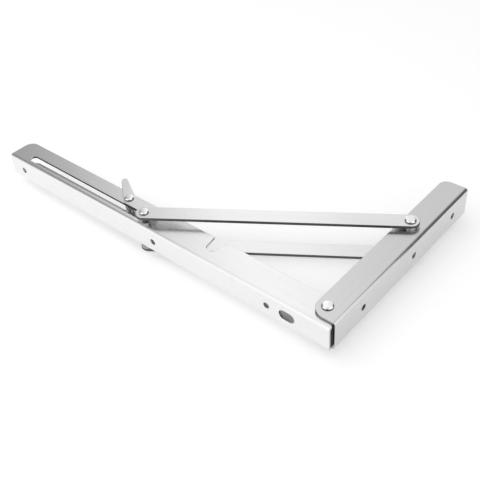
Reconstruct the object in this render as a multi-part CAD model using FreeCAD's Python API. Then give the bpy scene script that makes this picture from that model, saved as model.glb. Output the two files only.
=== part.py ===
import FreeCAD, Part
import math
import os

# Folding shelf bracket of folded stainless sheet, open and lying on its side.
# Plan view is XY. The corner where the shelf face and the wall face meet is at
# x = 0, y = 0 while the pieces are made. The shelf arm runs towards -X with its
# shelf face at y = 0, the wall arm runs towards +Y with its wall face at x = 0,
# and z = 0 is the middle of the bracket's width. At the end every piece is
# moved so that the middle of the wall arm's end screws is the origin.

# Sheet and bends
SHEET = 2.0
BEND_RADIUS = 3.0

# Shelf arm
SHELF_LENGTH = 400.0
SHELF_WIDTH = 25.0
SHELF_DEPTH = 28.0
SHELF_LOWER_DEPTH = 25.1
SHELF_END_RADIUS = 9.0
SHELF_CORNER_GAP = 1.3
SHELF_NOSE_GAP = 0.7
SHELF_NOSE_RADIUS = 10.0
SHELF_LIP = 4.0
SHELF_LIP_RADIUS = 1.0
SHELF_HOLE_DIAMETER = 6.0
SHELF_END_HOLE = 18.6
SHELF_HOLES = (63.0, 193.7, SHELF_LENGTH - SHELF_END_HOLE)
ACCESS_HOLE_PLACE = 42.4
ACCESS_HOLE_LENGTH = 15.6
ACCESS_HOLE_HEIGHT = 9.8

# Wall arm
WALL_LENGTH = 210.5
WALL_DEPTH = 24.5
WALL_END_RADIUS = 8.0
WALL_CORNER_RADIUS = 12.0
WALL_CORNER_GAP = 5.6
WALL_HOLE_DIAMETER = 6.0
WALL_END_HOLE = 24.9
WALL_HOLES = (44.8, 120.8, WALL_LENGTH - WALL_END_HOLE)
NEST_GAP = 0.5

# Linkage in plan, with the bracket open
CORNER_PIVOT_FROM_WALL = 15.2
CORNER_PIVOT_FROM_SHELF = 17.4
BRACE_PIVOT_REACH = 120.0
SLIDER_PLACE = 210.7
SLOT_LINE = 9.5
SLOT_WIDTH = 8.0
SLOT_INNER_PLAY = 1.0
SLOT_OUTER_PLAY = 3.9

# Notch in the shelf arm's flanges for the brace pin when folded
NOTCH_PLAY = 0.8
NOTCH_MOUTH = 15.0

# Strut bars
STRUT_WIDTH = 16.0
STRUT_THICKNESS = 3.0
STRUT_EDGE = 0.5
STRUT_STANDOFF = 2.0

# Pins, heads, spacers and washers
PIN_DIAMETER = 6.0
HEAD_DIAMETER = 9.0
PIVOT_HEAD_DIAMETER = 10.2
HEAD_HEIGHT = 2.0
HEAD_EDGE = 0.5
RUNNING = 0.05
FACE_PLAY = 0.1
SPACER_DIAMETER = 9.0
BRACE_SPACER_DIAMETER = 10.0
CORNER_WASHER_DIAMETER = 14.0
BRACE_WASHER_DIAMETER = 12.0
BUSH_PLAY = 0.1
BUSH_RIM_DIAMETER = 9.0
BUSH_RIM_THICKNESS = 0.8
COLLAR_DIAMETER = 9.0

# Latch
LATCH_SHEET = 2.0
LATCH_PIVOT_PLACE = 242.4
LATCH_PIVOT_LINE = 19.9
LATCH_FAR_LINE = 24.8
LATCH_HEEL = 0.4
LATCH_HEEL_RADIUS = 1.0
LATCH_REACH = 32.4
LATCH_END_RADIUS = 3.0
LATCH_CLEAR = 0.3
LATCH_HOOK_ANGLE = 7.0
LATCH_HOOK_PLAY = 0.4
FIN_ROOT = 3.6
FIN_ROOT_RADIUS = 2.0
FIN_TIP = ((-24.2, 20.3), (-27.2, 18.4), (-26.0, 14.4))
FIN_TIP_RADIUS = 1.5
LATCH_BUSH_DIAMETER = 10.0
LATCH_SLEEVE_DIAMETER = 7.2
LATCH_BUSH_STEP = 1.0
BUSH_GAP_FLOOR = 3.4
BUSH_GAP_HEIGHT = 2.4

# Latch spring
WIRE = 1.2
SPRING_COILS = 5
SPRING_PITCH = 1.35
SPRING_PLAY = 0.3
SPRING_LEG = 13.0
SPRING_TIP = 1.8
SPRING_TURN = 15.0

# Worked out from the sizes above
SHELF_HALF = SHELF_WIDTH / 2
SHELF_INSIDE = SHELF_HALF - SHEET
WALL_INSIDE = SHELF_HALF + NEST_GAP
WALL_HALF = WALL_INSIDE + SHEET
STRUT_BOTTOM = WALL_HALF + STRUT_STANDOFF
STRUT_TOP = STRUT_BOTTOM + STRUT_THICKNESS
PIN_RADIUS = PIN_DIAMETER / 2
CORNER = FreeCAD.Vector(-CORNER_PIVOT_FROM_WALL, CORNER_PIVOT_FROM_SHELF, 0)
BRACE = CORNER + FreeCAD.Vector(0, BRACE_PIVOT_REACH, 0)
SLIDER = FreeCAD.Vector(-SLIDER_PLACE, SLOT_LINE, 0)
LATCH = FreeCAD.Vector(-LATCH_PIVOT_PLACE, LATCH_PIVOT_LINE, 0)
STRUT_LENGTH = (BRACE - SLIDER).Length
BRACE_FOLDED = CORNER + FreeCAD.Vector(-BRACE_PIVOT_REACH, 0, 0)
SLIDER_FOLDED = FreeCAD.Vector(
    BRACE_FOLDED.x - math.sqrt(STRUT_LENGTH ** 2 - (BRACE_FOLDED.y - SLOT_LINE) ** 2), SLOT_LINE, 0
)
SPRING_RADIUS = LATCH_SLEEVE_DIAMETER / 2 + SPRING_PLAY + WIRE / 2
SPRING_HOLD = LATCH + FreeCAD.Rotation(FreeCAD.Vector(0, 0, 1), SPRING_TURN).multVec(
    FreeCAD.Vector(-SPRING_LEG, SPRING_RADIUS, 0)
)
ORIGIN = FreeCAD.Vector(0, (WALL_HOLES[0] + WALL_HOLES[-1]) / 2, 0)
UP = FreeCAD.Vector(0, 0, 1)


def cylinder(centre, radius, low, high):
    """Upright cylinder about centre, from z = low to z = high."""
    return Part.makeCylinder(radius, high - low, FreeCAD.Vector(centre.x, centre.y, low), UP)


def tube(centre, outer, inner, low, high):
    """Upright tube about centre."""
    return cylinder(centre, outer, low, high).cut(cylinder(centre, inner, low, high))


def block(x0, x1, y0, y1, z0, z1):
    """Box between two corners."""
    return Part.makeBox(x1 - x0, y1 - y0, z1 - z0, FreeCAD.Vector(x0, y0, z0))


def rounded_face(corners):
    """Flat face in plan. Each corner is x, y and its rounding radius."""
    count = len(corners)
    ins, mids, outs = [], [], []
    for i, (x, y, radius) in enumerate(corners):
        here = FreeCAD.Vector(x, y, 0)
        back = (FreeCAD.Vector(*corners[i - 1][:2], 0) - here).normalize()
        ahead = (FreeCAD.Vector(*corners[(i + 1) % count][:2], 0) - here).normalize()
        half = back.getAngle(ahead) / 2
        run = radius / math.tan(half)
        middle = (back + ahead).normalize()
        ins.append(here + back * run)
        mids.append(here + middle * (radius / math.sin(half) - radius))
        outs.append(here + ahead * run)
    edges = []
    for i in range(count):
        if corners[i][2] > 0:
            edges.append(Part.Arc(ins[i], mids[i], outs[i]).toShape())
        start, end = outs[i], ins[(i + 1) % count]
        if (end - start).Length > 1e-6:
            edges.append(Part.LineSegment(start, end).toShape())
    return Part.Face(Part.Wire(edges))


def plate(corners, low, high):
    """Flat plate of a plan outline, from z = low to z = high."""
    face = rounded_face(corners)
    face.translate(FreeCAD.Vector(0, 0, low))
    return face.extrude(UP * (high - low))


def channel(length, depth, half_width):
    """Folded channel along +X: back at y = 0, open towards +Y."""
    outside = rounded_face([
        (0, -half_width, BEND_RADIUS), (depth, -half_width, 0),
        (depth, half_width, 0), (0, half_width, BEND_RADIUS),
    ])
    inner = BEND_RADIUS - SHEET
    reach = half_width - SHEET
    inside = rounded_face([
        (SHEET, -reach, inner), (depth + SHEET, -reach, 0),
        (depth + SHEET, reach, 0), (SHEET, reach, inner),
    ])
    section = outside.cut(inside).Faces[0]
    # A third of a turn about (1, 1, 1) takes X to Y and Y to Z.
    section.rotate(FreeCAD.Vector(), FreeCAD.Vector(1, 1, 1), 120)
    return section.extrude(FreeCAD.Vector(length, 0, 0))


def obround(start, end, radius, low, high):
    """Upright slot shape with round ends about two points."""
    ends = cylinder(start, radius, low, high).fuse(cylinder(end, radius, low, high))
    along = end - start
    bar = Part.makeBox(along.Length, 2 * radius, high - low, FreeCAD.Vector(0, -radius, low))
    bar.rotate(FreeCAD.Vector(), UP, math.degrees(math.atan2(along.y, along.x)))
    bar.translate(FreeCAD.Vector(start.x, start.y, 0))
    return ends.fuse(bar).removeSplitter()


def hole_in_y(x, radius):
    """Cutter for a hole through the shelf arm's back."""
    return Part.makeCylinder(radius, 2 * SHEET, FreeCAD.Vector(x, -SHEET / 2, 0), FreeCAD.Vector(0, 1, 0))


def hole_in_x(y, radius):
    """Cutter for a hole through the wall arm's back."""
    return Part.makeCylinder(radius, 2 * SHEET, FreeCAD.Vector(SHEET / 2, y, 0), FreeCAD.Vector(-1, 0, 0))


def access_hole():
    """Cutter for the long round-ended hole beside the corner."""
    radius = ACCESS_HOLE_HEIGHT / 2
    offset = (ACCESS_HOLE_LENGTH - ACCESS_HOLE_HEIGHT) / 2
    left, right = -ACCESS_HOLE_PLACE - offset, -ACCESS_HOLE_PLACE + offset
    middle = block(left, right, -SHEET / 2, 1.5 * SHEET, -radius, radius)
    ends = [hole_in_y(place, radius) for place in (left, right)]
    return middle.fuse(ends)


def notch():
    """Cutter for the open notch that the brace spacer drops into."""
    radius = BRACE_SPACER_DIAMETER / 2 + NOTCH_PLAY
    mouth = NOTCH_MOUTH / 2
    flare = plate([
        (BRACE_FOLDED.x - radius, BRACE_FOLDED.y, 0), (BRACE_FOLDED.x + radius, BRACE_FOLDED.y, 0),
        (BRACE_FOLDED.x + mouth, SHELF_DEPTH, 0), (BRACE_FOLDED.x + mouth, SHELF_DEPTH + SHEET, 0),
        (BRACE_FOLDED.x - mouth, SHELF_DEPTH + SHEET, 0), (BRACE_FOLDED.x - mouth, SHELF_DEPTH, 0),
    ], -SHELF_WIDTH, SHELF_WIDTH)
    return flare.fuse(cylinder(BRACE_FOLDED, radius, -SHELF_WIDTH, SHELF_WIDTH))


def shelf_outline(depth, low, high):
    """The shelf arm's outline in plan with flanges of one depth, from z = low to z = high."""
    back_end = -SHELF_CORNER_GAP
    flange_end = -SHEET - SHELF_NOSE_GAP
    return plate([
        (-SHELF_LENGTH, 0, 0), (back_end, 0, 0), (back_end, SHELF_LIP, SHELF_LIP_RADIUS),
        (flange_end, SHELF_LIP, 0), (flange_end, depth, SHELF_NOSE_RADIUS),
        (-SHELF_LENGTH, depth, SHELF_END_RADIUS),
    ], low, high)


def shelf_arm():
    """Long channel: slots for the slider, notch, pin holes and screw holes."""
    bar = channel(SHELF_LENGTH, SHELF_DEPTH, SHELF_HALF)
    bar.translate(FreeCAD.Vector(-SHELF_LENGTH, 0, 0))
    upper = shelf_outline(SHELF_DEPTH, 0, SHELF_WIDTH)
    lower = shelf_outline(SHELF_LOWER_DEPTH, -SHELF_WIDTH, 0)
    arm = bar.common(upper.fuse(lower))
    slot_end = SLIDER_FOLDED - FreeCAD.Vector(SLOT_OUTER_PLAY, 0, 0)
    slot_start = SLIDER + FreeCAD.Vector(SLOT_INNER_PLAY, 0, 0)
    cutters = [
        obround(slot_end, slot_start, SLOT_WIDTH / 2, -SHELF_WIDTH, SHELF_WIDTH),
        notch(),
        cylinder(CORNER, PIN_RADIUS + RUNNING, -SHELF_WIDTH, SHELF_WIDTH),
        cylinder(LATCH, PIN_RADIUS + RUNNING, -SHELF_WIDTH, SHELF_WIDTH),
        access_hole(),
        cylinder(SPRING_HOLD, WIRE / 2 + SPRING_PLAY, -SHELF_HALF, -SHELF_INSIDE),
    ]
    cutters += [hole_in_y(-x, SHELF_HOLE_DIAMETER / 2) for x in SHELF_HOLES]
    return arm.cut(cutters).removeSplitter()


def wall_arm():
    """Short channel that straddles the shelf arm at the corner."""
    bar = channel(WALL_LENGTH - WALL_CORNER_GAP, WALL_DEPTH, WALL_HALF)
    bar.rotate(FreeCAD.Vector(), UP, 90)
    bar.translate(FreeCAD.Vector(0, WALL_CORNER_GAP, 0))
    outline = plate([
        (0, WALL_CORNER_GAP, 0), (0, WALL_LENGTH, 0),
        (-WALL_DEPTH, WALL_LENGTH, WALL_END_RADIUS), (-WALL_DEPTH, WALL_CORNER_GAP, WALL_CORNER_RADIUS),
    ], -WALL_HALF, WALL_HALF)
    arm = bar.common(outline)
    cutters = [
        cylinder(CORNER, PIN_RADIUS + RUNNING, -WALL_HALF, WALL_HALF),
        cylinder(BRACE, PIN_RADIUS + RUNNING, -WALL_HALF, WALL_HALF),
    ]
    cutters += [hole_in_x(y, WALL_HOLE_DIAMETER / 2) for y in WALL_HOLES]
    return arm.cut(cutters)


def head(centre, low, diameter):
    """Round rivet head with a softened upper edge, standing on z = low."""
    shape = cylinder(centre, diameter / 2, low, low + HEAD_HEIGHT)
    rim = [edge for edge in shape.Edges if edge.BoundBox.ZMin > low + HEAD_HEIGHT / 2 and edge.Closed]
    return shape.makeFillet(HEAD_EDGE, rim)


def mirrored(shape):
    """The same shape on the other side of the bracket's middle."""
    return shape.mirror(FreeCAD.Vector(), UP)


def headed_pin(centre, grip, diameter):
    """Pin through the whole bracket with a head at each end, at z = grip."""
    top = head(centre, grip, diameter)
    shank = cylinder(centre, PIN_RADIUS, -grip, grip)
    return shank.fuse([top, mirrored(top)]).removeSplitter()


def strut_bar():
    """Upper strut bar: flat, round-ended, with a hole at each pivot."""
    radius = STRUT_WIDTH / 2
    bar = obround(SLIDER, BRACE, radius, STRUT_BOTTOM, STRUT_TOP)
    edges = [e for e in bar.Edges if e.BoundBox.ZMax - e.BoundBox.ZMin < STRUT_THICKNESS / 2]
    bar = bar.makeFillet(STRUT_EDGE, edges)
    holes = [cylinder(p, PIN_RADIUS + RUNNING, STRUT_BOTTOM, STRUT_TOP) for p in (SLIDER, BRACE)]
    return bar.cut(holes)


def strut_rivet():
    """Headed end of the brace pin, held in the upper strut bar."""
    shank = cylinder(BRACE, PIN_RADIUS, STRUT_BOTTOM, STRUT_TOP + FACE_PLAY)
    return shank.fuse(head(BRACE, STRUT_TOP + FACE_PLAY, PIVOT_HEAD_DIAMETER)).removeSplitter()


def slider_bush():
    """Rimmed bush that guides the slider pin in the upper slot."""
    outer = SLOT_WIDTH / 2 - BUSH_PLAY
    inner = PIN_RADIUS + RUNNING
    low = SHELF_INSIDE - FACE_PLAY - BUSH_RIM_THICKNESS
    rim = tube(SLIDER, BUSH_RIM_DIAMETER / 2, inner, low, low + BUSH_RIM_THICKNESS)
    return rim.fuse(tube(SLIDER, outer, inner, low, SHELF_HALF)).removeSplitter()


def slider_collar():
    """Collar on the slider pin between the latch plate and the strut."""
    low = SHELF_HALF + FACE_PLAY + LATCH_SHEET + LATCH_CLEAR
    return tube(SLIDER, COLLAR_DIAMETER / 2, PIN_RADIUS + RUNNING, low, STRUT_BOTTOM - FACE_PLAY)


def latch_plate():
    """Upper latch plate: hook over the slider pin at one end, finger fin at the other."""
    low = SHELF_HALF + FACE_PLAY
    near = SLOT_LINE + PIN_RADIUS + LATCH_CLEAR
    outline = [
        (LATCH.x + LATCH_HEEL, near, LATCH_HEEL_RADIUS),
        (LATCH.x + LATCH_REACH, near, 0),
        (LATCH.x + LATCH_REACH, LATCH_FAR_LINE, LATCH_END_RADIUS),
        (LATCH.x + FIN_ROOT, LATCH_FAR_LINE, FIN_ROOT_RADIUS),
    ]
    outline += [(LATCH.x + x, LATCH.y + y, FIN_TIP_RADIUS) for x, y in FIN_TIP]
    body = plate(outline, low, low + LATCH_SHEET)
    angle = math.radians(LATCH_HOOK_ANGLE)
    arm = SLIDER - LATCH
    hooked = LATCH + FreeCAD.Vector(
        arm.x * math.cos(angle) - arm.y * math.sin(angle),
        arm.x * math.sin(angle) + arm.y * math.cos(angle),
        0,
    )
    mouth = PIN_RADIUS + LATCH_HOOK_PLAY
    hook = obround(hooked, hooked + FreeCAD.Vector(0, -2 * mouth, 0), mouth, low, low + LATCH_SHEET)
    bore = cylinder(LATCH, PIN_RADIUS + RUNNING, low, low + LATCH_SHEET)
    return body.cut([hook, bore])


def latch_bush():
    """Stepped bush on the latch pin, with a gap that takes the spring's upper end."""
    big = LATCH_BUSH_DIAMETER / 2
    sleeve = LATCH_SLEEVE_DIAMETER / 2
    length = SHELF_INSIDE - FACE_PLAY
    collar = cylinder(LATCH, big, LATCH_BUSH_STEP, length)
    shape = collar.fuse(cylinder(LATCH, sleeve, -length, LATCH_BUSH_STEP))
    gap = block(LATCH.x - big, LATCH.x + big, LATCH.y + BUSH_GAP_FLOOR, LATCH.y + big,
                LATCH_BUSH_STEP, LATCH_BUSH_STEP + BUSH_GAP_HEIGHT)
    bore = cylinder(LATCH, PIN_RADIUS + RUNNING, -length, length)
    return shape.removeSplitter().cut([gap, bore])


def wire_run(start, end):
    """Straight length of spring wire."""
    return Part.makeCylinder(WIRE / 2, (end - start).Length, start, end - start)


def latch_spring():
    """Torsion spring round the latch bush, one end in the lower flange, one in the bush."""
    height = SPRING_COILS * SPRING_PITCH
    top = LATCH_BUSH_STEP - SPRING_PLAY - WIRE / 2
    # The coil is wound left-handed so that its lower leg leaves towards the far end.
    # It is made with the leg along the arm and then turned in towards the slot.
    helix = Part.makeHelix(SPRING_PITCH, height, SPRING_RADIUS, 0, True)
    start = FreeCAD.Vector(SPRING_RADIUS, 0, 0)
    profile = Part.Wire(Part.makeCircle(WIRE / 2, start, FreeCAD.Vector(0, 1, 0)))
    coil = Part.Wire(helix).makePipeShell([profile], True, True)
    coil.rotate(FreeCAD.Vector(), UP, 90)
    coil.translate(LATCH + UP * (top - height))
    low_end = LATCH + FreeCAD.Vector(0, SPRING_RADIUS, top - height)
    high_end = LATCH + FreeCAD.Vector(0, SPRING_RADIUS, top)
    bend = low_end - FreeCAD.Vector(SPRING_LEG, 0, 0)
    leg = wire_run(low_end, bend)
    lower_tip = wire_run(bend, FreeCAD.Vector(bend.x, bend.y, -SHELF_HALF))
    upper_tip = wire_run(high_end, high_end + UP * SPRING_TIP)
    balls = [Part.makeSphere(WIRE / 2, place) for place in (bend, high_end)]
    spring = coil.fuse([leg.fuse([balls[0], lower_tip]), upper_tip.fuse(balls[1])])
    spring.rotate(LATCH, UP, SPRING_TURN)
    return spring


def pieces():
    """Every piece of the bracket by name, about the corner."""
    parts = {
        "wall_arm": wall_arm(),
        "shelf_arm": shelf_arm(),
        "corner_pin": headed_pin(CORNER, WALL_HALF + FACE_PLAY, PIVOT_HEAD_DIAMETER),
        "corner_spacer": tube(CORNER, SPACER_DIAMETER / 2, PIN_RADIUS + RUNNING,
                              -SHELF_INSIDE + FACE_PLAY, SHELF_INSIDE - FACE_PLAY),
        "brace_pin": cylinder(BRACE, PIN_RADIUS, -STRUT_BOTTOM + FACE_PLAY, STRUT_BOTTOM - FACE_PLAY),
        "brace_spacer": tube(BRACE, BRACE_SPACER_DIAMETER / 2, PIN_RADIUS + RUNNING,
                             -WALL_INSIDE + FACE_PLAY, WALL_INSIDE - FACE_PLAY),
        "slider_pin": headed_pin(SLIDER, STRUT_TOP + FACE_PLAY, HEAD_DIAMETER),
        "slider_spacer": tube(SLIDER, SPACER_DIAMETER / 2, PIN_RADIUS + RUNNING,
                              -SHELF_INSIDE + 2 * FACE_PLAY + BUSH_RIM_THICKNESS,
                              SHELF_INSIDE - 2 * FACE_PLAY - BUSH_RIM_THICKNESS),
        "latch_pin": headed_pin(LATCH, SHELF_HALF + 2 * FACE_PLAY + LATCH_SHEET, HEAD_DIAMETER),
        "latch_bush": latch_bush(),
        "latch_spring": latch_spring(),
    }
    corner_washer = tube(CORNER, CORNER_WASHER_DIAMETER / 2, PIN_RADIUS + RUNNING,
                         SHELF_HALF + FACE_PLAY / 2, WALL_INSIDE - FACE_PLAY / 2)
    brace_washer = tube(BRACE, BRACE_WASHER_DIAMETER / 2, PIN_RADIUS + RUNNING,
                        WALL_HALF, STRUT_BOTTOM - FACE_PLAY)
    pairs = {
        "corner_washer": corner_washer,
        "brace_washer": brace_washer,
        "strut_bar": strut_bar(),
        "strut_rivet": strut_rivet(),
        "slider_bush": slider_bush(),
        "slider_collar": slider_collar(),
        "latch_plate": latch_plate(),
    }
    for name, shape in pairs.items():
        parts[name + "_upper"] = shape
        parts[name + "_lower"] = mirrored(shape)
    return parts


os.makedirs("parts", exist_ok=True)
for node, shape in pieces().items():
    shape = shape.copy()
    shape.translate(-ORIGIN)
    shape.exportStep(os.path.join("parts", node + ".step"))
    print(f"{node:22s} solids {len(shape.Solids)} valid {shape.isValid()} volume {shape.Volume:10.1f}")
folded = SLIDER.x - SLIDER_FOLDED.x
open_angle = math.degrees(math.atan2(BRACE.y - SLIDER.y, BRACE.x - SLIDER.x))
folded_angle = math.degrees(math.atan2(BRACE_FOLDED.y - SLIDER.y, BRACE_FOLDED.x - SLIDER_FOLDED.x))
print(f"slider travel {folded:.4f} strut turn {open_angle - folded_angle:.4f}")
print(f"strut length {STRUT_LENGTH:.3f}")
print("corner", CORNER - ORIGIN, "brace", BRACE - ORIGIN, "slider", SLIDER - ORIGIN, "latch", LATCH - ORIGIN)
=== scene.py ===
"""Looks of the folding shelf bracket: brushed stainless sheet, turned rivets and a pale studio."""
import math
from functools import partial

import bmesh
import bpy
from bpy.props import FloatProperty, FloatVectorProperty, IntProperty, PointerProperty
from mathutils import Matrix, Vector


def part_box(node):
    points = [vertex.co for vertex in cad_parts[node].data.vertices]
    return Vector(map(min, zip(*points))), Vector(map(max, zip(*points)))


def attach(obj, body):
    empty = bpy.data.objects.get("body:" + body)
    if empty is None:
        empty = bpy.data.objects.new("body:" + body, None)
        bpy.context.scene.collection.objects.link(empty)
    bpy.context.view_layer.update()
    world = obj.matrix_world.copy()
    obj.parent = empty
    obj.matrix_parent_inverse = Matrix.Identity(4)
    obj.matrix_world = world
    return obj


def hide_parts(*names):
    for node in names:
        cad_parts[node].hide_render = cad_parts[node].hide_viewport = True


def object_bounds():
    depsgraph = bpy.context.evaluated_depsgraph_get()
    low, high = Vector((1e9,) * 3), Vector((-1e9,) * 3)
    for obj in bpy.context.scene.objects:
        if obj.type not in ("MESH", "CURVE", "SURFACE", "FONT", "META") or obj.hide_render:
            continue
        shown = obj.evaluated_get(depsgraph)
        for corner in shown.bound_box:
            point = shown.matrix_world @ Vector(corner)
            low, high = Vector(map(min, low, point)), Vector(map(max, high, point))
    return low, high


bl_info = {
    "name": "Folding Shelf Bracket",
    "version": (1, 0, 0),
    "blender": (4, 5, 0),
    "location": "View3D > Sidebar > Bracket",
    "description": "Finishes the folding shelf bracket and sets it in a pale studio",
    "category": "Object",
}

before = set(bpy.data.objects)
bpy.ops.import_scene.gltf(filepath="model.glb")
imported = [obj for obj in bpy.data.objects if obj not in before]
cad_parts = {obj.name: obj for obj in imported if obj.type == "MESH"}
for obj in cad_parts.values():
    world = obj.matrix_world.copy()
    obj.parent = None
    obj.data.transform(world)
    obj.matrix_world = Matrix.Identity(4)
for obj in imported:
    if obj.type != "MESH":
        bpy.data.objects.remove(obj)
CAD_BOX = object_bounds()
FRAME_PIXELS = 480
MM = 0.001

# How far the fold between back and flange reaches into either, and half the sheet's thickness
FOLD = 3.2 * MM
HALF_SHEET = 1 * MM

# Share of a rivet head's height that takes painted shade at its foot, and half the width of the change
FOOT_SHARE = 0.42
FOOT_BLUR = 0.15 * MM

# Places of an axis in a list of X, Y and Z
X_AXIS = 0
Y_AXIS = 1
Z_AXIS = 2

# Share of a surface's normal on an axis below which it faces sideways, and above which it is an end
PLATE_SIDE = 0.75
CHANNEL_SIDE = 0.5
CHANNEL_END = 0.9

# Rolled grain: fine lines, broader bands, their tint, sheen and relief
NOISE_RANGE = (0.3, 0.7)
FINE_DETAIL = 3
BROAD_DETAIL = 2
BROAD_WIDTHS = 9
BROAD_LENGTHS = 4
BAND_TINT = (0.983, 1.007)
RUBBED_TINT = 1.04
SMOOTHEST_GRAIN = 0.03
ROUGHEST_GRAIN = 0.05
GRAIN_RELIEF = 0.08
GRAIN_DEPTH = 0.02 * MM

# Turning marks: rings, speckle, their tint, sheen and relief
RING_SCALE = 0.3 / MM
RING_WAVER = 1.2
RING_DETAIL = 2
SPECKLE_SCALE = 1.5 / MM
SPECKLE_TINT = (0.95, 1.02)
RING_SHEEN = 0.03
RING_RELIEF = 0.1
RING_DEPTH = 0.01 * MM

# Rounded edges in the shading: samples, and how alike two normals are from edge to flat
EDGE_SAMPLES = 6
EDGE_RANGE = (0.75, 0.99)

# Turned pieces
SHARP_ANGLE = math.radians(35)
QUARTER_TURN = math.radians(90)
WELD = MM / 1000
CROWN_STEPS = 5
RIM_STEPS = 6

# Studio: the wall's steps and greatest brightness, and the camera's film and range
WALL_STEPS = 128
WALL_WHITE = 1.05
SENSOR_WIDTH = 36.0
NEAREST = 0.01
FURTHEST = 50

# Brightness of the studio wall round the compass: share of a full turn from -X, and level
WALL_LEVELS = (
    (0.0, 0.25), (0.035, 0.22), (0.07, 0.34), (0.088, 0.65), (0.105, 1.1), (0.2, 1.15), (0.25, 1.0),
    (0.29, 0.5), (0.333, 0.1), (0.375, 0.5), (0.41, 1.1), (0.56, 1.3), (0.6, 1.25), (0.616, 0.85),
    (0.632, 0.45), (0.646, 0.18), (0.69, 0.15), (0.72, 0.25), (0.78, 0.75), (0.816, 0.88),
    (0.845, 0.9), (0.865, 1.1), (0.895, 1.12), (0.912, 0.86), (0.93, 0.65), (0.95, 0.4), (1.0, 0.25),
)

# Directions of the rolled grain, in the frame's own axes
ALONG_SHELF_ARM = (1.0, 0.0, 0.0)
ALONG_WALL_ARM = (0.0, 1.0, 0.0)

RIVETS = {
    "corner_pin": "wall_arm",
    "slider_pin": "slider",
    "latch_pin": "latch",
    "strut_rivet_upper": "strut",
    "strut_rivet_lower": "strut",
}
FITTINGS = (
    "corner_spacer", "corner_washer_upper", "corner_washer_lower", "brace_pin", "brace_spacer",
    "brace_washer_upper", "brace_washer_lower", "slider_spacer", "slider_bush_upper",
    "slider_bush_lower", "slider_collar_upper", "slider_collar_lower", "latch_bush",
)


class BracketSteel(bpy.types.PropertyGroup):
    """Colours and surface of the stainless pieces."""

    shelf_arm_colour: FloatVectorProperty(
        name="Shelf arm", description="Colour of the long channel",
        subtype="COLOR", size=3, min=0, max=1, default=(0.872, 0.872, 0.877))
    # Painted shade: the wall arm's colour is its steel darkened to give the dimmer reflections it shows beside
    # the shelf arm.
    wall_arm_shaded_colour: FloatVectorProperty(
        name="Wall arm", description="Colour of the short channel",
        subtype="COLOR", size=3, min=0, max=1, default=(0.67, 0.67, 0.675))
    strut_colour: FloatVectorProperty(
        name="Strut", description="Colour of the strut bars",
        subtype="COLOR", size=3, min=0, max=1, default=(0.83, 0.83, 0.835))
    latch_colour: FloatVectorProperty(
        name="Latch", description="Colour of the latch plates",
        subtype="COLOR", size=3, min=0, max=1, default=(0.9, 0.9, 0.905))
    rivet_colour: FloatVectorProperty(
        name="Rivets", description="Colour of the turned rivets",
        subtype="COLOR", size=3, min=0, max=1, default=(0.93, 0.93, 0.935))
    fitting_colour: FloatVectorProperty(
        name="Fittings", description="Colour of spacers, washers and bushes",
        subtype="COLOR", size=3, min=0, max=1, default=(0.78, 0.78, 0.785))
    wire_colour: FloatVectorProperty(
        name="Spring wire", description="Colour of the latch spring",
        subtype="COLOR", size=3, min=0, max=1, default=(0.6, 0.6, 0.61))
    sheared_colour: FloatVectorProperty(
        name="Sheared edges", description="Colour of the sheet's cut sides",
        subtype="COLOR", size=3, min=0, max=1, default=(0.13, 0.13, 0.135))
    punched_share: FloatProperty(
        name="Punched holes", description="How far holes and ends take the sheared finish",
        default=0.3, min=0, max=1)
    # Painted shade: the channels' insides are coloured darker for the shade that falls inside them.
    inside_shade_colour: FloatVectorProperty(
        name="Shaded finish", description="Colour of the shaded inside of the channels",
        subtype="COLOR", size=3, min=0, max=1, default=(0.5, 0.5, 0.505))
    sheared_roughness: FloatProperty(
        name="Sheared roughness", description="Roughness of the sheet's cut sides", default=0.5, min=0, max=1)
    roughness: FloatProperty(
        name="Roughness", description="Roughness of the brushed sheet", default=0.24, min=0, max=1)
    rivet_roughness: FloatProperty(
        name="Rivet roughness", description="Roughness of the turned rivets", default=0.08, min=0, max=1)
    # Painted shade: the foot of each rivet head is coloured dark for the shade where it meets the plate.
    foot_shade_colour: FloatVectorProperty(
        name="Rivet foot", description="Colour of a rivet head's shadowed foot",
        subtype="COLOR", size=3, min=0, max=1, default=(0.13, 0.13, 0.135))
    fitting_roughness: FloatProperty(
        name="Fitting roughness", description="Roughness of spacers, washers and wire",
        default=0.2, min=0, max=1)
    anisotropy: FloatProperty(
        name="Anisotropy", description="Stretch of reflections across the grain", default=0.55, min=0, max=1)
    grain_width: FloatProperty(
        name="Grain width", description="Width of one brushed line",
        default=0.35 * MM, min=0.01 * MM, max=0.01, unit="LENGTH", precision=5)
    grain_length: FloatProperty(
        name="Grain length", description="Length of one brushed line",
        default=22 * MM, min=MM, max=0.5, unit="LENGTH")
    edge_radius: FloatProperty(
        name="Edge radius", description="Radius of the deburred sheet edges",
        default=0.35 * MM, min=0, max=0.005, unit="LENGTH", precision=5)
    bar_edge_radius: FloatProperty(
        name="Bar edge radius", description="Radius of the tumbled edges of bars and latch plates",
        default=0.8 * MM, min=0, max=0.005, unit="LENGTH", precision=5)


class BracketRivets(bpy.types.PropertyGroup):
    """Sizes of the turned rivets that the frame's boxes don't give."""

    shank_diameter: FloatProperty(
        name="Shank diameter", description="Diameter of every pin",
        default=6 * MM, min=MM, max=0.03, unit="LENGTH", precision=4)
    head_height: FloatProperty(
        name="Head height", description="Height of a rivet head",
        default=2 * MM, min=0.2 * MM, max=0.02, unit="LENGTH", precision=4)
    crown: FloatProperty(
        name="Crown", description="How far the middle of a head stands above its rim",
        default=0.12 * MM, min=0, max=0.002, unit="LENGTH", precision=5)
    edge: FloatProperty(
        name="Rim radius", description="Rounding of a head's rim",
        default=1.7 * MM, min=0.05 * MM, max=0.003, unit="LENGTH", precision=5)
    segments: IntProperty(
        name="Segments", description="Steps round a turned piece", default=96, min=16, max=256)


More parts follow.
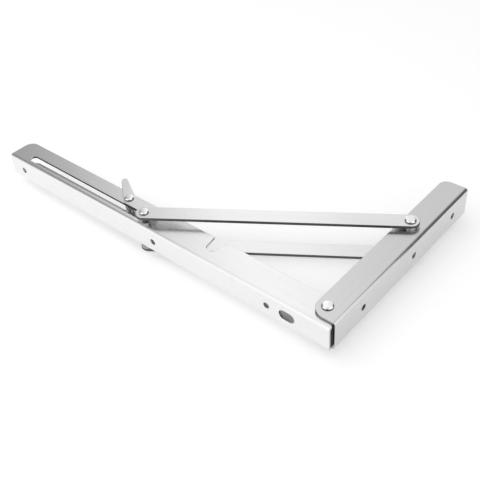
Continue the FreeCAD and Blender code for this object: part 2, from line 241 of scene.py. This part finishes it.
class BracketStudio(bpy.types.PropertyGroup):
    """Camera, floor, lamp and the wall and sky that the steel reflects."""

    azimuth: FloatProperty(
        name="Camera azimuth", description="Turn of the view about the bracket's width",
        default=math.radians(44.0), subtype="ANGLE")
    elevation: FloatProperty(
        name="Camera elevation", description="Height of the view above the floor",
        default=math.radians(40.896), subtype="ANGLE")
    roll: FloatProperty(
        name="Camera roll", description="Tilt of the picture",
        default=math.radians(-5.116), subtype="ANGLE")
    distance: FloatProperty(
        name="Camera distance", description="From the camera to its target", default=0.6967, unit="LENGTH")
    target: FloatVectorProperty(
        name="Camera target", description="Point that the camera looks at", size=3,
        default=(-0.1423, -0.0565, -0.0124), subtype="XYZ", unit="LENGTH")
    focal_pixels: FloatProperty(
        name="Focal length", description="Focal length in pixels of the photograph's frame", default=765.7)
    floor_size: FloatProperty(
        name="Floor size", description="Side of the floor", default=6.0, unit="LENGTH")
    floor_reach: FloatProperty(
        name="Floor reach", description="Distance where the floor has faded into the white behind it",
        default=1.3, unit="LENGTH")
    wall_radius: FloatProperty(
        name="Wall radius", description="Radius of the studio wall that the steel reflects",
        default=1.4, unit="LENGTH")
    dark_height: FloatProperty(
        name="Dark height", description="Height where the studio wall starts to lighten",
        default=1.05, unit="LENGTH")
    white_height: FloatProperty(
        name="White height", description="Height where the studio wall is white",
        default=2.0, unit="LENGTH")
    flag_distance: FloatProperty(
        name="Flag distance", description="From the wall face to the dark card",
        default=0.12, unit="LENGTH")
    flag_near: FloatProperty(
        name="Flag near end", description="Near end of the dark card, from the bracket's middle",
        default=0.1, unit="LENGTH")
    flag_far: FloatProperty(
        name="Flag far end", description="Far end of the dark card, from the bracket's middle",
        default=0.5, unit="LENGTH")
    flag_height: FloatProperty(
        name="Flag height", description="Height of the dark card", default=0.2, unit="LENGTH")
    flag_level: FloatProperty(
        name="Flag level", description="Brightness of the dark card", default=0.12, min=0, max=1)
    lamp_size: FloatProperty(
        name="Lamp size", description="Side of the soft overhead lamp", default=1.3, unit="LENGTH")
    lamp_place: FloatVectorProperty(
        name="Lamp place", description="Place of the soft lamp over the middle of the floor", size=3,
        default=(-0.25, -0.45, 1.2), subtype="XYZ", unit="LENGTH")
    lamp_power: FloatProperty(
        name="Lamp power", description="Power of the soft overhead lamp", default=6.0, unit="POWER")
    floor_colour: FloatProperty(
        name="Floor colour", description="How much of the light the floor throws back",
        default=0.76, min=0, max=1)
    floor_glow: FloatProperty(
        name="Floor glow", description="Light that shows through the floor from below", default=0.38, min=0)
    sky_level: FloatProperty(
        name="Sky level", description="Strength of the sky as the steel mirrors it", default=0.8, min=0)
    fill_level: FloatProperty(
        name="Fill level", description="Strength of the even light from all round",
        default=0.62, min=0, max=2)


def settings(context):
    """The three groups of sizes and colours."""
    scene = context.scene
    return scene.bracket_steel, scene.bracket_rivets, scene.bracket_studio


def node_centre(name):
    """Middle of a CAD node's box."""
    low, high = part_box(name)
    return (low + high) / 2


def strut_direction():
    """Direction in plan from the slider pin to the brace pin."""
    along = node_centre("strut_rivet_upper") - node_centre("slider_pin")
    along.z = 0
    return along.normalized()


def new_material(name):
    """Empty node material with its output, ready for links."""
    material = bpy.data.materials.new(name)
    material.use_nodes = True
    tree = material.node_tree
    tree.nodes.clear()
    output = tree.nodes.new("ShaderNodeOutputMaterial")
    return material, tree, output


def streaks(tree, direction, width, length, detail):
    """Noise drawn out along a direction in plan, from Object coordinates."""
    coordinates = tree.nodes.new("ShaderNodeTexCoord")
    turn = tree.nodes.new("ShaderNodeMapping")
    turn.inputs["Rotation"].default_value[2] = -math.atan2(direction[1], direction[0])
    stretch = tree.nodes.new("ShaderNodeMapping")
    stretch.inputs["Scale"].default_value = (1 / length, 1 / width, 1 / width)
    noise = tree.nodes.new("ShaderNodeTexNoise")
    noise.inputs["Scale"].default_value = 1.0
    noise.inputs["Detail"].default_value = detail
    tree.links.new(coordinates.outputs["Object"], turn.inputs["Vector"])
    tree.links.new(turn.outputs["Vector"], stretch.inputs["Vector"])
    tree.links.new(stretch.outputs["Vector"], noise.inputs["Vector"])
    return noise.outputs["Fac"]


def remap(tree, value, low, high, source=NOISE_RANGE):
    """Value brought from a source range, at first that of noise, to the range from low to high."""
    node = tree.nodes.new("ShaderNodeMapRange")
    node.inputs["From Min"].default_value = source[0]
    node.inputs["From Max"].default_value = source[1]
    node.inputs["To Min"].default_value = low
    node.inputs["To Max"].default_value = high
    tree.links.new(value, node.inputs["Value"])
    return node.outputs["Result"]


def shade_colour(tree, value, colour, dark, bright):
    """Colour made darker and brighter by a value."""
    mix = tree.nodes.new("ShaderNodeMix")
    mix.data_type = "RGBA"
    mix.inputs["A"].default_value = (*[c * dark for c in colour], 1)
    mix.inputs["B"].default_value = (*[min(1, c * bright) for c in colour], 1)
    tree.links.new(value, mix.inputs["Factor"])
    return mix.outputs["Result"]


def blend_colour(tree, factor, base, colour):
    """A colour socket blended towards a plain colour by a mask."""
    mix = tree.nodes.new("ShaderNodeMix")
    mix.data_type = "RGBA"
    mix.inputs["B"].default_value = (*colour, 1)
    tree.links.new(factor, mix.inputs["Factor"])
    tree.links.new(base, mix.inputs["A"])
    return mix.outputs["Result"]


def soft_edges(tree, radius):
    """Normal that rounds every sharp edge, and how near a point is to one."""
    bevel = tree.nodes.new("ShaderNodeBevel")
    bevel.samples = EDGE_SAMPLES
    bevel.inputs["Radius"].default_value = radius
    geometry = tree.nodes.new("ShaderNodeNewGeometry")
    dot = tree.nodes.new("ShaderNodeVectorMath")
    dot.operation = "DOT_PRODUCT"
    tree.links.new(bevel.outputs["Normal"], dot.inputs[0])
    tree.links.new(geometry.outputs["Normal"], dot.inputs[1])
    return bevel.outputs["Normal"], remap(tree, dot.outputs["Value"], 1.0, 0.0, EDGE_RANGE)


def bump(tree, height, normal, strength, distance):
    """Normal raised by a height."""
    node = tree.nodes.new("ShaderNodeBump")
    node.inputs["Strength"].default_value = strength
    node.inputs["Distance"].default_value = distance
    tree.links.new(height, node.inputs["Height"])
    tree.links.new(normal, node.inputs["Normal"])
    return node.outputs["Normal"]


def across_grain(tree, direction):
    """Tangent across the grain on every face of a piece, in the world's axes."""
    vector = tree.nodes.new("ShaderNodeCombineXYZ")
    vector.inputs["X"].default_value = -direction[1]
    vector.inputs["Y"].default_value = direction[0]
    vector.inputs["Z"].default_value = 1.0
    turn = tree.nodes.new("ShaderNodeVectorTransform")
    turn.vector_type = "VECTOR"
    turn.convert_from = "OBJECT"
    turn.convert_to = "WORLD"
    tree.links.new(vector.outputs["Vector"], turn.inputs["Vector"])
    return turn.outputs["Vector"]


def calculate(tree, operation, first, second=None):
    """Math node on sockets or numbers."""
    node = tree.nodes.new("ShaderNodeMath")
    node.operation = operation
    for socket, value in zip(node.inputs, (first, second)):
        if isinstance(value, (int, float)):
            socket.default_value = value
        elif value is not None:
            tree.links.new(value, socket)
    return node.outputs["Value"]


def all_of(tree, *tests):
    """1 where every test is 1."""
    result = tests[0]
    for test in tests[1:]:
        result = calculate(tree, "MINIMUM", result, test)
    return result


def any_of(tree, *tests):
    """1 where one of the tests is 1."""
    result = tests[0]
    for test in tests[1:]:
        result = calculate(tree, "MAXIMUM", result, test)
    return result


def object_axes(tree):
    """Place and absolute normal on an object's own axes, as two lists of X, Y and Z."""
    coordinates = tree.nodes.new("ShaderNodeTexCoord")
    place = tree.nodes.new("ShaderNodeSeparateXYZ")
    facing = tree.nodes.new("ShaderNodeSeparateXYZ")
    tree.links.new(coordinates.outputs["Object"], place.inputs["Vector"])
    tree.links.new(coordinates.outputs["Normal"], facing.inputs["Vector"])
    normals = [calculate(tree, "ABSOLUTE", facing.outputs[axis]) for axis in "XYZ"]
    return [place.outputs[axis] for axis in "XYZ"], normals


def plate_cuts(tree):
    """1 on the sheared sides of a flat plate, and nothing for an inside."""
    normals = object_axes(tree)[1]
    return calculate(tree, "LESS_THAN", normals[Z_AXIS], PLATE_SIDE), None


def channel_cuts(tree, back, across, along, half_width, punched_share):
    """How sheared the edges, slots and holes of a folded channel look, and 1 on its inside, which takes
    painted shade.

    The back's outer face lies at the place back on the axis across."""
    place, normals = object_axes(tree)
    depth = calculate(tree, "ABSOLUTE", calculate(tree, "SUBTRACT", place[across], back))
    height = calculate(tree, "ABSOLUTE", place[Z_AXIS])
    in_flange = calculate(tree, "GREATER_THAN", depth, FOLD)
    in_back = calculate(tree, "LESS_THAN", height, half_width - FOLD)
    flange_cut = all_of(tree, in_flange, calculate(tree, "LESS_THAN", normals[Z_AXIS], CHANNEL_SIDE))
    hole = all_of(tree, in_back, calculate(tree, "LESS_THAN", normals[across], CHANNEL_SIDE))
    end = calculate(tree, "GREATER_THAN", normals[along], CHANNEL_END)
    punched = calculate(tree, "MULTIPLY", hole, punched_share)
    sheared = calculate(tree, "MULTIPLY", flange_cut, calculate(tree, "SUBTRACT", 1.0, end))
    inside = all_of(
        tree, calculate(tree, "LESS_THAN", height, half_width - HALF_SHEET),
        calculate(tree, "GREATER_THAN", depth, HALF_SHEET))
    ends = calculate(tree, "MULTIPLY", end, punched_share)
    return any_of(tree, sheared, punched, ends), inside


def brushed_steel(name, colour, direction, steel, edge_radius, cuts):
    """Stainless sheet with rolled grain, rubbed edges, dark sheared sides and painted shade inside a channel.

    The function cuts draws the masks of the sheared sides and of a channel's inside."""
    material, tree, output = new_material(name)
    shader = tree.nodes.new("ShaderNodeBsdfPrincipled")
    shader.inputs["Metallic"].default_value = 1.0
    shader.inputs["Anisotropic"].default_value = steel.anisotropy
    fine = streaks(tree, direction, steel.grain_width, steel.grain_length, FINE_DETAIL)
    broad = streaks(
        tree, direction, steel.grain_width * BROAD_WIDTHS, steel.grain_length * BROAD_LENGTHS, BROAD_DETAIL)
    normal, edge = soft_edges(tree, edge_radius)
    tint = shade_colour(tree, remap(tree, broad, 0, 1), colour, *BAND_TINT)
    rubbed = blend_colour(tree, edge, tint, [min(1, c * RUBBED_TINT) for c in colour])
    mask, inside = cuts(tree)
    # Painted shade: a channel's inside takes a darker colour for the shade that falls in it.
    if inside is not None:
        rubbed = blend_colour(tree, inside, rubbed, steel.inside_shade_colour)
    sheared = blend_colour(tree, mask, rubbed, steel.sheared_colour)
    satin = remap(tree, fine, steel.roughness - SMOOTHEST_GRAIN, steel.roughness + ROUGHEST_GRAIN)
    rough = any_of(tree, satin, calculate(tree, "MULTIPLY", mask, steel.sheared_roughness))
    raised = bump(tree, fine, normal, GRAIN_RELIEF, GRAIN_DEPTH)
    tree.links.new(sheared, shader.inputs["Base Color"])
    tree.links.new(rough, shader.inputs["Roughness"])
    tree.links.new(raised, shader.inputs["Normal"])
    tree.links.new(across_grain(tree, direction), shader.inputs["Tangent"])
    tree.links.new(shader.outputs["BSDF"], output.inputs["Surface"])
    return material


def turned_steel(name, colour, centre, steel, roughness, foot=None):
    """Bright turned steel with fine rings about its own axis.

    A rivet takes painted shade below the height foot of its heads, a dark band for the shade where a head
    meets the plate."""
    material, tree, output = new_material(name)
    shader = tree.nodes.new("ShaderNodeBsdfPrincipled")
    shader.inputs["Metallic"].default_value = 1.0
    coordinates = tree.nodes.new("ShaderNodeTexCoord")
    place = tree.nodes.new("ShaderNodeMapping")
    place.inputs["Location"].default_value = (-centre.x, -centre.y, 0)
    rings = tree.nodes.new("ShaderNodeTexWave")
    rings.wave_type = "RINGS"
    rings.rings_direction = "Z"
    rings.inputs["Scale"].default_value = RING_SCALE
    rings.inputs["Distortion"].default_value = RING_WAVER
    rings.inputs["Detail"].default_value = RING_DETAIL
    speckle = tree.nodes.new("ShaderNodeTexNoise")
    speckle.inputs["Scale"].default_value = SPECKLE_SCALE
    normal = soft_edges(tree, steel.edge_radius / 2)[0]
    tree.links.new(coordinates.outputs["Object"], place.inputs["Vector"])
    tree.links.new(place.outputs["Vector"], rings.inputs["Vector"])
    tree.links.new(coordinates.outputs["Object"], speckle.inputs["Vector"])
    tint = shade_colour(tree, remap(tree, speckle.outputs["Fac"], 0, 1), colour, *SPECKLE_TINT)
    # Painted shade: a dark band at the foot of each head for the shade where it meets the plate.
    if foot is not None:
        height = calculate(tree, "ABSOLUTE", object_axes(tree)[0][Z_AXIS])
        low = remap(tree, height, 1.0, 0.0, (foot - FOOT_BLUR, foot + FOOT_BLUR))
        tint = blend_colour(tree, low, tint, steel.foot_shade_colour)
    rough = remap(tree, rings.outputs["Fac"], roughness - RING_SHEEN, roughness + RING_SHEEN, (0, 1))
    raised = bump(tree, rings.outputs["Fac"], normal, RING_RELIEF, RING_DEPTH)
    tree.links.new(tint, shader.inputs["Base Color"])
    tree.links.new(rough, shader.inputs["Roughness"])
    tree.links.new(raised, shader.inputs["Normal"])
    tree.links.new(shader.outputs["BSDF"], output.inputs["Surface"])
    return material


def dress(node, material):
    """Gives a CAD node its finish in every one of its slots."""
    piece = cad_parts[node]
    for index in range(max(1, len(piece.material_slots))):
        if index >= len(piece.material_slots):
            piece.data.materials.append(material)
        piece.material_slots[index].material = material


def add_piece(name, mesh, material, body):
    """Puts a finished bmesh in the scene as a piece that rides on a body."""
    bmesh.ops.recalc_face_normals(mesh, faces=mesh.faces)
    for face in mesh.faces:
        face.smooth = True
    data = bpy.data.meshes.new(name)
    mesh.to_mesh(data)
    mesh.free()
    data.materials.append(material)
    data.set_sharp_from_angle(angle=SHARP_ANGLE)
    piece = bpy.data.objects.new(name, data)
    bpy.context.scene.collection.objects.link(piece)
    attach(piece, body)
    return piece


def turned(profile, centre, segments):
    """Solid of revolution about an upright axis. The profile is (radius, height) points."""
    mesh = bmesh.new()
    verts = [mesh.verts.new((radius, 0, height)) for radius, height in profile]
    edges = [mesh.edges.new(pair) for pair in zip(verts, verts[1:])]
    bmesh.ops.spin(
        mesh, geom=verts + edges, cent=(0, 0, 0), axis=(0, 0, 1), dvec=(0, 0, 0),
        angle=math.tau, steps=segments, use_merge=True, use_normal_flip=False, use_duplicate=False)
    bmesh.ops.remove_doubles(mesh, verts=mesh.verts, dist=WELD)
    bmesh.ops.translate(mesh, verts=mesh.verts, vec=(centre.x, centre.y, 0))
    return mesh


def head_profile(rivets, radius, top):
    """Crowned rivet head from its middle to its underside, as (radius, height) points."""
    rim = rivets.edge
    flat = radius - rim
    shoulder = top - rivets.crown
    points = []
    for step in range(CROWN_STEPS + 1):
        share = step / CROWN_STEPS
        points.append((flat * share, top - rivets.crown * share ** 2))
    for step in range(1, RIM_STEPS + 1):
        turn = QUARTER_TURN * step / RIM_STEPS
        points.append((flat + rim * math.sin(turn), shoulder - rim * (1 - math.cos(turn))))
    points.append((radius, top - rivets.head_height))
    return points


def seen_directly(tree):
    """1 for what the camera sees, at once, in a reflection or through a piece."""
    ray = tree.nodes.new("ShaderNodeLightPath")
    return any_of(
        tree, ray.outputs["Is Camera Ray"], ray.outputs["Is Glossy Ray"], ray.outputs["Is Transmission Ray"])


def stage_object(name, mesh, material):
    """Puts a part of the studio in the scene."""
    data = bpy.data.meshes.new(name)
    mesh.to_mesh(data)
    mesh.free()
    data.materials.append(material)
    piece = bpy.data.objects.new(name, data)
    bpy.context.scene.collection.objects.link(piece)
    return piece


def floor_material(studio):
    """Pale floor that keeps the bracket's shadow and fades into white far away."""
    material, tree, output = new_material("pale_floor")
    diffuse = tree.nodes.new("ShaderNodeBsdfDiffuse")
    diffuse.inputs["Color"].default_value = (*[studio.floor_colour] * 3, 1)
    glow = tree.nodes.new("ShaderNodeEmission")
    glow.inputs["Color"].default_value = (1, 1, 1, 1)
    coordinates = tree.nodes.new("ShaderNodeTexCoord")
    distance = tree.nodes.new("ShaderNodeVectorMath")
    distance.operation = "LENGTH"
    tree.links.new(coordinates.outputs["Object"], distance.inputs[0])
    reach = studio.floor_reach
    fade = remap(tree, distance.outputs["Value"], studio.floor_glow, 1.0, (reach / 2, reach))
    level = calculate(tree, "MULTIPLY", seen_directly(tree), fade)
    both = tree.nodes.new("ShaderNodeAddShader")
    tree.links.new(level, glow.inputs["Strength"])
    tree.links.new(diffuse.outputs["BSDF"], both.inputs[0])
    tree.links.new(glow.outputs["Emission"], both.inputs[1])
    tree.links.new(both.outputs["Shader"], output.inputs["Surface"])
    return material


def wall_material(studio):
    """Studio wall seen only in the steel: bright and dark round the compass, and white high up."""
    material, tree, output = new_material("studio_wall")
    coordinates = tree.nodes.new("ShaderNodeTexCoord")
    compass = tree.nodes.new("ShaderNodeTexGradient")
    compass.gradient_type = "RADIAL"
    ramp = tree.nodes.new("ShaderNodeValToRGB")
    ramp.color_ramp.interpolation = "EASE"
    stops = ramp.color_ramp.elements
    for place, level in WALL_LEVELS[1:-1]:
        stops.new(place)
    for stop, (place, level) in zip(stops, WALL_LEVELS):
        stop.position = place
        stop.color = (level, level, level, 1)
    split = tree.nodes.new("ShaderNodeSeparateXYZ")
    climb = remap(tree, split.outputs["Z"], 0.0, WALL_WHITE, (studio.dark_height, studio.white_height))
    climb.node.interpolation_type = "SMOOTHSTEP"
    glow = tree.nodes.new("ShaderNodeEmission")
    tree.links.new(coordinates.outputs["Object"], compass.inputs["Vector"])
    tree.links.new(compass.outputs["Fac"], ramp.inputs["Fac"])
    tree.links.new(coordinates.outputs["Object"], split.inputs["Vector"])
    tree.links.new(any_of(tree, climb, ramp.outputs["Color"]), glow.inputs["Strength"])
    tree.links.new(glow.outputs["Emission"], output.inputs["Surface"])
    return material


def hide_from_view(piece):
    """Leaves a studio piece to be seen by reflections only."""
    piece.visible_camera = False
    piece.visible_diffuse = False
    piece.visible_transmission = False
    piece.visible_shadow = False


def stand_flag(studio, middle, floor):
    """Dark card beside the wall arm, for the dark line along its fold."""
    material, tree, output = new_material("dark_flag")
    glow = tree.nodes.new("ShaderNodeEmission")
    glow.inputs["Strength"].default_value = studio.flag_level
    tree.links.new(glow.outputs["Emission"], output.inputs["Surface"])
    card = bmesh.new()
    x = studio.flag_distance
    near, far = middle.y + studio.flag_near, middle.y + studio.flag_far
    corners = [(x, near, floor), (x, far, floor), (x, far, floor + studio.flag_height),
               (x, near, floor + studio.flag_height)]
    card.faces.new([card.verts.new(corner) for corner in corners])
    hide_from_view(stage_object("dark_flag", card, material))


def light_world(studio):
    """Even light from all round, white for the camera and a little darker in the steel."""
    world = bpy.data.worlds.new("pale_studio")
    world.use_nodes = True
    bpy.context.scene.world = world
    tree = world.node_tree
    background = tree.nodes["Background"]
    background.inputs["Color"].default_value = (1, 1, 1, 1)
    ray = tree.nodes.new("ShaderNodeLightPath")
    mirrored = remap(tree, ray.outputs["Is Glossy Ray"], studio.fill_level, studio.sky_level, (0, 1))
    tree.links.new(any_of(tree, ray.outputs["Is Camera Ray"], mirrored), background.inputs["Strength"])


def place_camera(studio):
    """Camera at the photograph's angle."""
    azimuth, elevation, roll = studio.azimuth, studio.elevation, studio.roll
    back = Vector((
        math.sin(azimuth) * math.cos(elevation),
        -math.cos(azimuth) * math.cos(elevation),
        math.sin(elevation),
    ))
    right = Vector((0, 0, 1)).cross(back).normalized()
    up = back.cross(right)
    turned_right = math.cos(roll) * right + math.sin(roll) * up
    turned_up = math.cos(roll) * up - math.sin(roll) * right
    data = bpy.data.cameras.new("photo_camera")
    data.sensor_width = SENSOR_WIDTH
    data.lens = studio.focal_pixels / FRAME_PIXELS * data.sensor_width
    data.clip_start = NEAREST
    data.clip_end = FURTHEST
    camera = bpy.data.objects.new("photo_camera", data)
    axes = Matrix((turned_right, turned_up, back)).transposed().to_4x4()
    camera.matrix_world = Matrix.Translation(Vector(studio.target) + back * studio.distance) @ axes
    bpy.context.scene.collection.objects.link(camera)
    bpy.context.scene.camera = camera


def hang_lamp(studio, middle, floor):
    """Soft lamp above the bracket, left out of the steel's reflections."""
    data = bpy.data.lights.new("soft_box_above", "AREA")
    data.shape = "SQUARE"
    data.size = studio.lamp_size
    data.energy = studio.lamp_power
    lamp = bpy.data.objects.new("soft_box_above", data)
    place = Vector((middle.x, middle.y, floor)) + Vector(studio.lamp_place)
    aim = (place - middle).to_track_quat("Z", "Y")
    lamp.matrix_world = Matrix.Translation(place) @ aim.to_matrix().to_4x4()
    lamp.visible_glossy = False
    bpy.context.scene.collection.objects.link(lamp)


class BRACKET_OT_dress_arms(bpy.types.Operator):
    """Give the two folded channels their brushed finish"""

    bl_idname = "bracket.dress_arms"
    bl_label = "Dress Arms"

    def execute(self, context):
        steel = settings(context)[0]
        arms = (
            ("shelf_arm", steel.shelf_arm_colour, ALONG_SHELF_ARM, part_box("shelf_arm")[0].y, Y_AXIS, X_AXIS),
            ("wall_arm", steel.wall_arm_shaded_colour, ALONG_WALL_ARM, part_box("wall_arm")[1].x, X_AXIS, Y_AXIS),
        )
        for node, colour, direction, back, across, along in arms:
            cuts = partial(
                channel_cuts, back=back, across=across, along=along, half_width=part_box(node)[1].z,
                punched_share=steel.punched_share)
            dress(node, brushed_steel(node + "_steel", colour, direction, steel, steel.edge_radius, cuts))
        return {"FINISHED"}


class BRACKET_OT_dress_strut(bpy.types.Operator):
    """Give the strut bars their brushed finish, with the grain along them"""

    bl_idname = "bracket.dress_strut"
    bl_label = "Dress Strut Bars"

    def execute(self, context):
        steel = settings(context)[0]
        material = brushed_steel(
            "strut_steel", steel.strut_colour, strut_direction(), steel, steel.bar_edge_radius, plate_cuts)
        for node in ("strut_bar_upper", "strut_bar_lower"):
            dress(node, material)
        return {"FINISHED"}


class BRACKET_OT_dress_latch(bpy.types.Operator):
    """Give the latch plates their brushed finish"""

    bl_idname = "bracket.dress_latch"
    bl_label = "Dress Latch Plates"

    def execute(self, context):
        steel = settings(context)[0]
        material = brushed_steel(
            "latch_steel", steel.latch_colour, ALONG_SHELF_ARM, steel, steel.bar_edge_radius, plate_cuts)
        for node in ("latch_plate_upper", "latch_plate_lower"):
            dress(node, material)
        return {"FINISHED"}


class BRACKET_OT_turn_rivets(bpy.types.Operator):
    """Turn the rivets with crowned heads in place of the plain pins"""

    bl_idname = "bracket.turn_rivets"
    bl_label = "Turn Rivets"

    def execute(self, context):
        steel, rivets = settings(context)[:2]
        shank = rivets.shank_diameter / 2
        for node, body in RIVETS.items():
            low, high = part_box(node)
            centre = (low + high) / 2
            radius = (high.x - low.x) / 2
            top = head_profile(rivets, radius, high.z)
            if node == "strut_rivet_upper":
                profile = top + [(shank, high.z - rivets.head_height), (shank, low.z), (0, low.z)]
            elif node == "strut_rivet_lower":
                bottom = head_profile(rivets, radius, -low.z)
                points = bottom + [(shank, -low.z - rivets.head_height), (shank, -high.z), (0, -high.z)]
                profile = [(r, -z) for r, z in points]
            else:
                upper = top + [(shank, high.z - rivets.head_height)]
                profile = upper + [(r, -z) for r, z in reversed(upper)]
            outer = max(high.z, -low.z)
            # Height below which a head takes painted shade.
            foot = outer - rivets.head_height * (1 - FOOT_SHARE)
            material = turned_steel(
                node + "_steel", steel.rivet_colour, centre, steel, steel.rivet_roughness, foot)
            piece = add_piece(
                node + "_turned", turned(profile, centre, rivets.segments), material, body)
            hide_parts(node)
        return {"FINISHED"}


class BRACKET_OT_dress_fittings(bpy.types.Operator):
    """Give spacers, washers, collars and bushes their turned finish"""

    bl_idname = "bracket.dress_fittings"
    bl_label = "Dress Fittings"

    def execute(self, context):
        steel = settings(context)[0]
        for node in FITTINGS:
            dress(node, turned_steel(
                node + "_steel", steel.fitting_colour, node_centre(node), steel, steel.fitting_roughness))
        return {"FINISHED"}


class BRACKET_OT_dress_spring(bpy.types.Operator):
    """Give the latch spring its drawn wire finish"""

    bl_idname = "bracket.dress_spring"
    bl_label = "Dress Latch Spring"

    def execute(self, context):
        steel = settings(context)[0]
        dress("latch_spring", turned_steel(
            "spring_wire", steel.wire_colour, node_centre("latch_bush"), steel, steel.fitting_roughness))
        return {"FINISHED"}


class BRACKET_OT_set_stage(bpy.types.Operator):
    """Lay the pale floor, hang the lamp and place the camera"""

    bl_idname = "bracket.set_stage"
    bl_label = "Set Stage"

    def execute(self, context):
        studio = settings(context)[2]
        low, high = Vector(CAD_BOX[0]), Vector(CAD_BOX[1])
        middle = (low + high) / 2
        ground = bmesh.new()
        bmesh.ops.create_grid(ground, x_segments=1, y_segments=1, size=studio.floor_size / 2)
        bmesh.ops.translate(ground, verts=ground.verts, vec=(middle.x, middle.y, low.z))
        stage_object("floor", ground, floor_material(studio))
        ring = bmesh.new()
        bmesh.ops.create_cone(
            ring, cap_ends=False, segments=WALL_STEPS, radius1=studio.wall_radius, radius2=studio.wall_radius,
            depth=studio.wall_radius * 2)
        bmesh.ops.translate(ring, verts=ring.verts, vec=(0, 0, low.z + studio.wall_radius + MM))
        hide_from_view(stage_object("studio_wall", ring, wall_material(studio)))
        stand_flag(studio, middle, low.z)
        light_world(studio)
        hang_lamp(studio, middle, low.z)
        place_camera(studio)
        context.scene.view_settings.view_transform = "Standard"
        return {"FINISHED"}


OPERATORS = (
    BRACKET_OT_dress_arms,
    BRACKET_OT_dress_strut,
    BRACKET_OT_dress_latch,
    BRACKET_OT_turn_rivets,
    BRACKET_OT_dress_fittings,
    BRACKET_OT_dress_spring,
    BRACKET_OT_set_stage,
)


class VIEW3D_PT_bracket(bpy.types.Panel):
    """The bracket's steps and sizes in the 3D view's sidebar."""

    bl_label = "Folding Shelf Bracket"
    bl_space_type = "VIEW_3D"
    bl_region_type = "UI"
    bl_category = "Bracket"

    def draw(self, context):
        for group in settings(context):
            box = self.layout.box()
            for name in group.bl_rna.properties.keys():
                if name not in {"rna_type", "name"}:
                    box.prop(group, name)
        for operator in OPERATORS:
            self.layout.operator(operator.bl_idname)


CLASSES = (BracketSteel, BracketRivets, BracketStudio, *OPERATORS, VIEW3D_PT_bracket)


def register():
    """Registers the classes and hangs their settings on the scene."""
    for item in CLASSES:
        bpy.utils.register_class(item)
    bpy.types.Scene.bracket_steel = PointerProperty(type=BracketSteel)
    bpy.types.Scene.bracket_rivets = PointerProperty(type=BracketRivets)
    bpy.types.Scene.bracket_studio = PointerProperty(type=BracketStudio)


def unregister():
    """Takes the settings and classes away again."""
    del bpy.types.Scene.bracket_studio
    del bpy.types.Scene.bracket_rivets
    del bpy.types.Scene.bracket_steel
    for item in reversed(CLASSES):
        bpy.utils.unregister_class(item)


def main():
    """Runs every step in order."""
    register()
    bpy.ops.bracket.dress_arms()
    bpy.ops.bracket.dress_strut()
    bpy.ops.bracket.dress_latch()
    bpy.ops.bracket.turn_rivets()
    bpy.ops.bracket.dress_fittings()
    bpy.ops.bracket.dress_spring()
    bpy.ops.bracket.set_stage()


if __name__ == "__main__":
    main()
